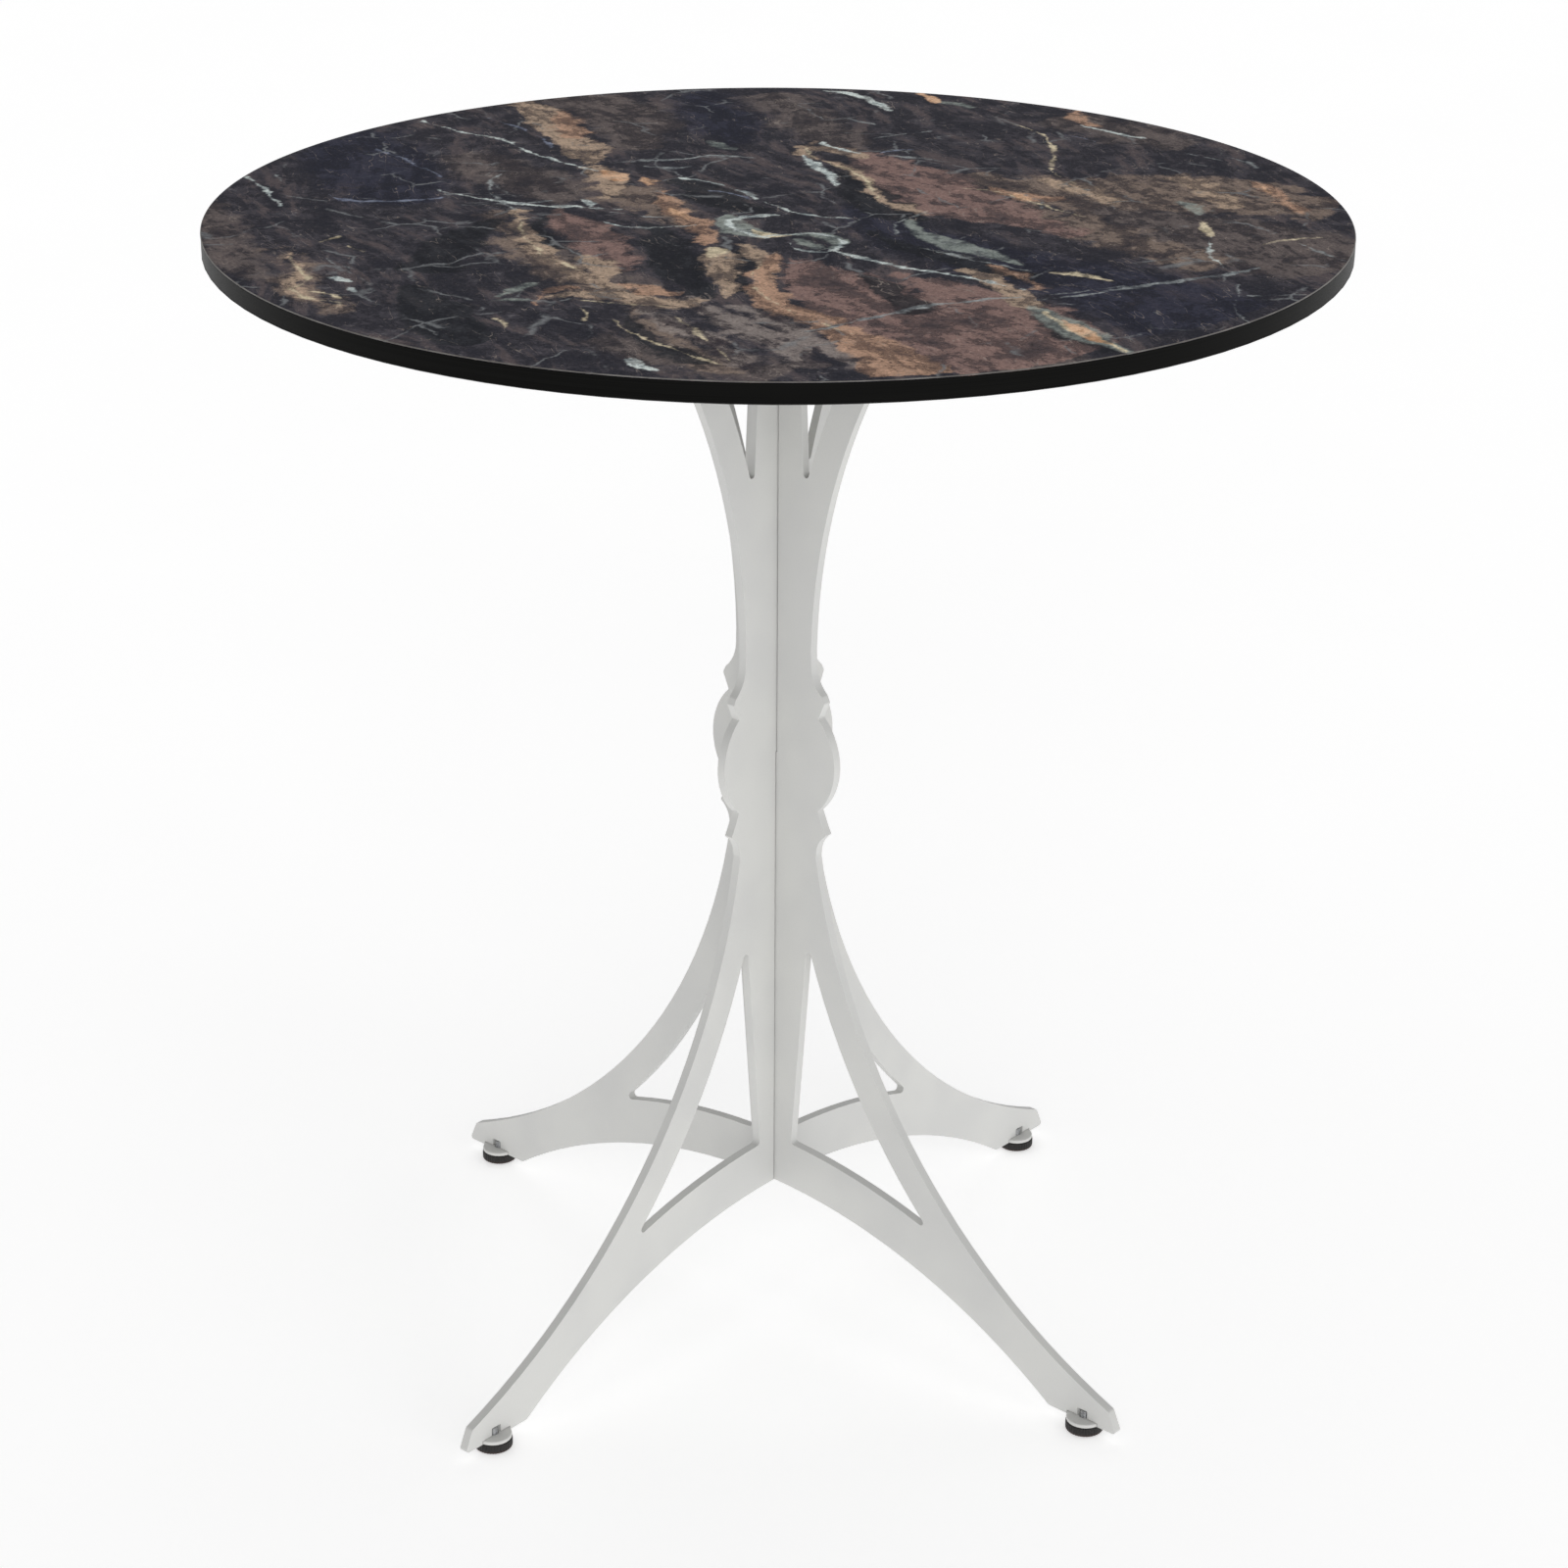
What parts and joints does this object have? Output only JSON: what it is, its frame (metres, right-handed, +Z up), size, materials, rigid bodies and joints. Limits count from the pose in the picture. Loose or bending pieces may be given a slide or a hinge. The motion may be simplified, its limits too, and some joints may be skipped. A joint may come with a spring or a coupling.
{
  "type": "bistro table",
  "caption": "Round bistro table: thin compact-laminate top on a pedestal of crossed flat steel plates, with screw-in levelling feet.",
  "frame": {"origin": "on the floor, under the middle of the round top, with the feet screwed fully home", "axes": "+Z up; the four legs lie along +X (front right), +Y (back right), -X (back left) and -Y (front left)"},
  "size_m": [0.7, 0.7, 0.755],
  "materials": {
    "laminate_core": "satin black resin core",
    "marble_decor": "satin printed marble",
    "laminate_backing": "fine-textured black",
    "powder_coat": "off-white fine-texture powder coat",
    "zinc_steel": "bright zinc plate",
    "brass": "turned",
    "black_nylon": "satin moulded",
    "rubber": "matt"
  },
  "bodies": {
    "pedestal": {"tabletop_core": "laminate_core", "tabletop_decor_sheet": "marble_decor", "tabletop_backing_sheet": "laminate_backing", "leg_plate_slotted_above": "powder_coat", "leg_plate_slotted_below": "powder_coat", "mount_tab_front_right": "powder_coat", "mount_tab_back_right": "powder_coat", "mount_tab_back_left": "powder_coat", "mount_tab_front_left": "powder_coat", "top_screw_front_right_1": "zinc_steel", "top_screw_front_right_2": "zinc_steel", "top_screw_back_right_1": "zinc_steel", "top_screw_back_right_2": "zinc_steel", "top_screw_back_left_1": "zinc_steel", "top_screw_back_left_2": "zinc_steel", "top_screw_front_left_1": "zinc_steel", "top_screw_front_left_2": "zinc_steel", "threaded_insert_front_right_1": "brass", "threaded_insert_front_right_2": "brass", "threaded_insert_back_right_1": "brass", "threaded_insert_back_right_2": "brass", "threaded_insert_back_left_1": "brass", "threaded_insert_back_left_2": "brass", "threaded_insert_front_left_1": "brass", "threaded_insert_front_left_2": "brass", "foot_lug_front_right": "powder_coat", "foot_lug_back_right": "powder_coat", "foot_lug_back_left": "powder_coat", "foot_lug_front_left": "powder_coat"},
    "pad_front_right": {"foot_pad_front_right": "rubber"},
    "foot_front_right": {"foot_stud_front_right": "zinc_steel", "foot_knob_front_right": "black_nylon"},
    "pad_back_right": {"foot_pad_back_right": "rubber"},
    "foot_back_right": {"foot_stud_back_right": "zinc_steel", "foot_knob_back_right": "black_nylon"},
    "pad_back_left": {"foot_pad_back_left": "rubber"},
    "foot_back_left": {"foot_stud_back_left": "zinc_steel", "foot_knob_back_left": "black_nylon"},
    "pad_front_left": {"foot_pad_front_left": "rubber"},
    "foot_front_left": {"foot_stud_front_left": "zinc_steel", "foot_knob_front_left": "black_nylon"}
  },
  "joints": [
    {"name": "foot_front_right_travel", "type": "slide", "parent": "pedestal", "child": "pad_front_right", "axis": [0, 0, -1], "range_m": [0, 0.004]},
    {"name": "foot_front_right_turn", "type": "hinge", "parent": "pad_front_right", "child": "foot_front_right", "pos_m": [0.2695, 0, 0.007], "axis": [0, 0, -1], "range_deg": [0, 1440]},
    {"name": "foot_back_right_travel", "type": "slide", "parent": "pedestal", "child": "pad_back_right", "axis": [0, 0, -1], "range_m": [0, 0.004]},
    {"name": "foot_back_right_turn", "type": "hinge", "parent": "pad_back_right", "child": "foot_back_right", "pos_m": [0, 0.2695, 0.007], "axis": [0, 0, -1], "range_deg": [0, 1440]},
    {"name": "foot_back_left_travel", "type": "slide", "parent": "pedestal", "child": "pad_back_left", "axis": [0, 0, -1], "range_m": [0, 0.004]},
    {"name": "foot_back_left_turn", "type": "hinge", "parent": "pad_back_left", "child": "foot_back_left", "pos_m": [-0.2695, 0, 0.007], "axis": [0, 0, -1], "range_deg": [0, 1440]},
    {"name": "foot_front_left_travel", "type": "slide", "parent": "pedestal", "child": "pad_front_left", "axis": [0, 0, -1], "range_m": [0, 0.004]},
    {"name": "foot_front_left_turn", "type": "hinge", "parent": "pad_front_left", "child": "foot_front_left", "pos_m": [0, -0.2695, 0.007], "axis": [0, 0, -1], "range_deg": [0, 1440]}
  ],
  "couplings": [
    {"joint": "foot_front_right_travel", "follows": "foot_front_right_turn", "m_per_rad": 0.00015915},
    {"joint": "foot_back_right_travel", "follows": "foot_back_right_turn", "m_per_rad": 0.00015915},
    {"joint": "foot_back_left_travel", "follows": "foot_back_left_turn", "m_per_rad": 0.00015915},
    {"joint": "foot_front_left_travel", "follows": "foot_front_left_turn", "m_per_rad": 0.00015915}
  ]
}
